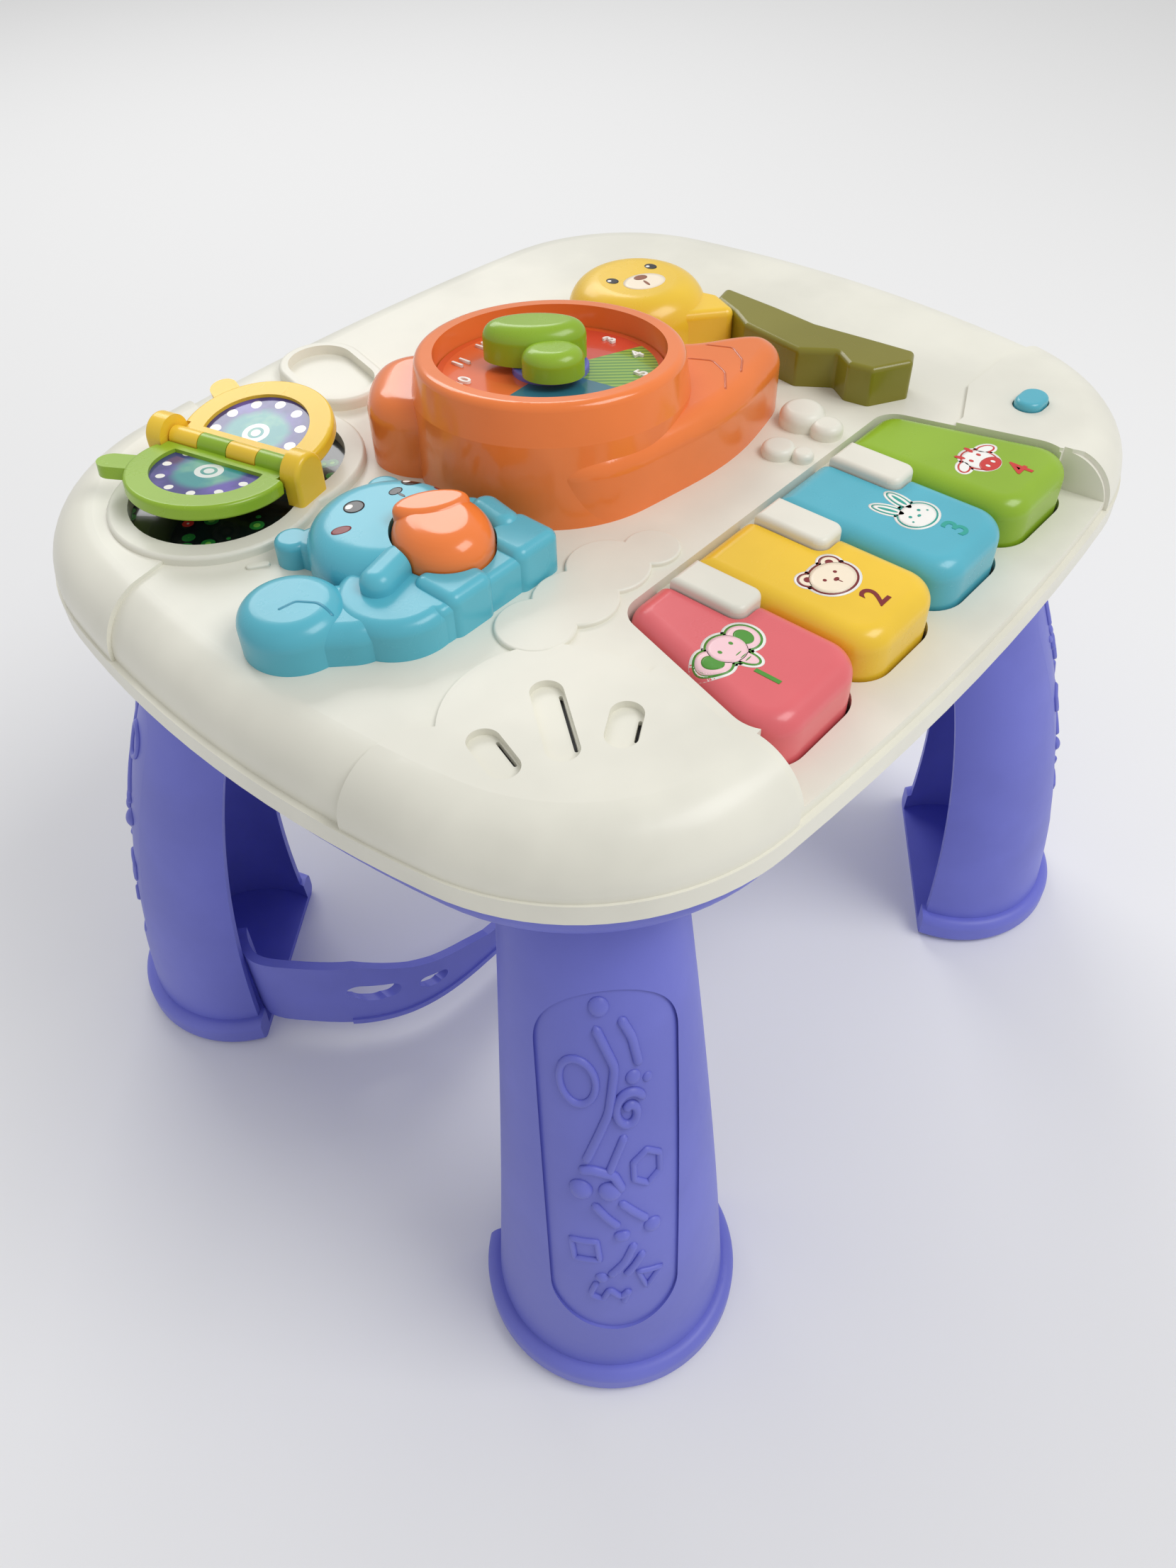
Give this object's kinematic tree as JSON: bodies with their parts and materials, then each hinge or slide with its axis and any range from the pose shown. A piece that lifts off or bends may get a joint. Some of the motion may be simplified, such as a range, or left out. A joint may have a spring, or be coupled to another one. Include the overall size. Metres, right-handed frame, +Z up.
{
  "type": "activity table",
  "caption": "Baby activity table: rounded white top with piano keys, dial, flip book, acorn button and figures on four splayed legs.",
  "frame": {"origin": "on the floor under the middle of the table top", "axes": "+Z up, -Y towards the piano-key side where the child sits, +X to the child's right"},
  "size_m": [0.3504, 0.3122, 0.296],
  "materials": {
    "white_plastic": "satin",
    "purple_plastic": "satin",
    "orange_plastic": "gloss",
    "sky_plastic": "satin",
    "yellow_plastic": "satin",
    "pink_plastic": "satin",
    "green_plastic": "satin",
    "olive_plastic": "satin",
    "printed_face": "printed",
    "dark_plastic": "matte",
    "board_laminate": "matte",
    "rubber_grey": "matte",
    "steel": "brushed",
    "cell_jacket": "gloss"
  },
  "bodies": {
    "table": {"tray_top": "white_plastic", "under_shell": "purple_plastic", "leg_front_left": "purple_plastic", "leg_front_right": "purple_plastic", "leg_rear_left": "purple_plastic", "leg_rear_right": "purple_plastic", "rear_brace": "purple_plastic", "dial_housing": "orange_plastic", "dial_face": "printed_face", "dial_hub_ring": "purple_plastic", "rotary_switch": "dark_plastic", "squirrel_body": "sky_plastic", "figure_head": "yellow_plastic", "figure_body": "olive_plastic", "hinge_pin": "steel", "hinge_post_near": "yellow_plastic", "hinge_post_far": "yellow_plastic", "picture_plate": "printed_face", "key_axle": "steel", "key_board": "board_laminate", "main_board": "board_laminate", "speaker": "dark_plastic", "battery_door": "purple_plastic", "battery_cells": "cell_jacket", "shell_screws": "steel", "dome_key_pink": "rubber_grey", "dome_key_yellow": "rubber_grey", "dome_key_blue": "rubber_grey", "dome_key_green": "rubber_grey", "dome_acorn": "rubber_grey", "dome_mode": "rubber_grey"},
    "key_pink": {"key_pink": "pink_plastic"},
    "key_yellow": {"key_yellow": "yellow_plastic"},
    "key_blue": {"key_blue": "sky_plastic"},
    "key_green": {"key_green": "green_plastic"},
    "acorn_button": {"acorn_button": "orange_plastic"},
    "mode_button": {"mode_button": "sky_plastic"},
    "dial_knob": {"dial_knob": "green_plastic"},
    "page_green": {"page_green": "green_plastic", "knuckles_green": "green_plastic", "window_green": "printed_face"},
    "page_yellow": {"page_yellow": "yellow_plastic", "knuckles_yellow": "yellow_plastic", "window_yellow": "printed_face"}
  },
  "joints": [
    {"name": "press_key_pink", "type": "hinge", "parent": "table", "child": "key_pink", "pos_m": [-0.0544, -0.0675, 0.2415], "axis": [1, 0, 0], "range_deg": [0, 3], "stiffness_Nm_per_rad": 1.2, "deforming": ["dome_key_pink"]},
    {"name": "press_key_yellow", "type": "hinge", "parent": "table", "child": "key_yellow", "pos_m": [-0.0169, -0.0675, 0.2415], "axis": [1, 0, 0], "range_deg": [0, 3], "stiffness_Nm_per_rad": 1.2, "deforming": ["dome_key_yellow"]},
    {"name": "press_key_blue", "type": "hinge", "parent": "table", "child": "key_blue", "pos_m": [0.0237, -0.0675, 0.2415], "axis": [1, 0, 0], "range_deg": [0, 3], "stiffness_Nm_per_rad": 1.2, "deforming": ["dome_key_blue"]},
    {"name": "press_key_green", "type": "hinge", "parent": "table", "child": "key_green", "pos_m": [0.0612, -0.0675, 0.2415], "axis": [1, 0, 0], "range_deg": [0, 3], "stiffness_Nm_per_rad": 1.2, "deforming": ["dome_key_green"]},
    {"name": "press_acorn", "type": "slide", "parent": "table", "child": "acorn_button", "axis": [0, 0, -1], "range_m": [0, 0.003], "stiffness_N_per_m": 700, "deforming": ["dome_acorn"]},
    {"name": "press_mode", "type": "slide", "parent": "table", "child": "mode_button", "axis": [0, 0, -1], "range_m": [0, 0.0018], "stiffness_N_per_m": 700, "deforming": ["dome_mode"]},
    {"name": "turn_dial", "type": "hinge", "parent": "table", "child": "dial_knob", "pos_m": [-0.0144, 0.0098, 0.282], "axis": [0.0648, 0.0583, 0.9962], "continuous": true},
    {"name": "flip_green", "type": "hinge", "parent": "table", "child": "page_green", "pos_m": [-0.093, 0.072, 0.2664], "axis": [-0.2419, 0.9703, 0], "range_deg": [0, 160]},
    {"name": "flip_yellow", "type": "hinge", "parent": "table", "child": "page_yellow", "pos_m": [-0.093, 0.072, 0.2664], "axis": [0.2419, -0.9703, 0], "range_deg": [0, 160]}
  ]
}
